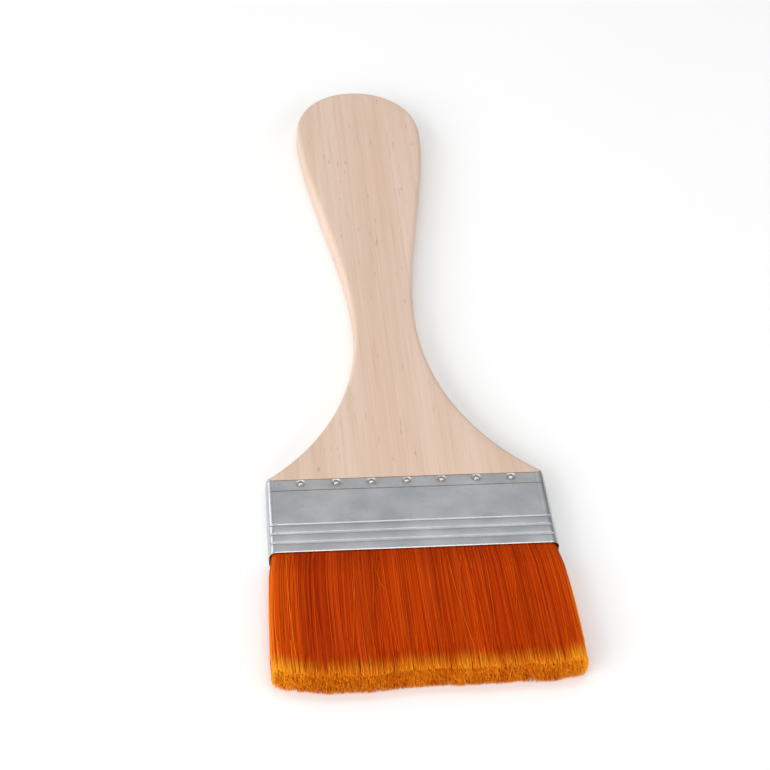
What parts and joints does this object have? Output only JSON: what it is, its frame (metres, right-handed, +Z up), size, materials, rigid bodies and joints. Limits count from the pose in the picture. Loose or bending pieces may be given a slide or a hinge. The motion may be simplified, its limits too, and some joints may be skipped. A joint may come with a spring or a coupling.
{
  "type": "flat paint brush",
  "caption": "Wide flat paint brush with a flat waisted wooden handle, a pressed and nailed tinplate ferrule and a straight-cut block of orange synthetic filaments.",
  "frame": {"origin": "middle of the whole length and width, on the plane that the brush lies on", "axes": "+Y along the handle away from the filaments, +X across the width, +Z up through the thickness"},
  "size_m": [0.0782, 0.249, 0.0084],
  "materials": {
    "handle_wood": "bare sanded",
    "tinplate": "dull tinned",
    "nail_steel": "bright",
    "filament": "fine parallel filaments, paler at the tips",
    "strip_wood": "rough sawn",
    "glue": "cured resin"
  },
  "bodies": {
    "root": {"handle": "handle_wood", "ferrule": "tinplate", "nails_front": "nail_steel", "nails_back": "nail_steel", "filaments_front": "filament", "filaments_back": "filament", "spacer_strip": "strip_wood", "glue_set": "glue"}
  },
  "joints": []
}
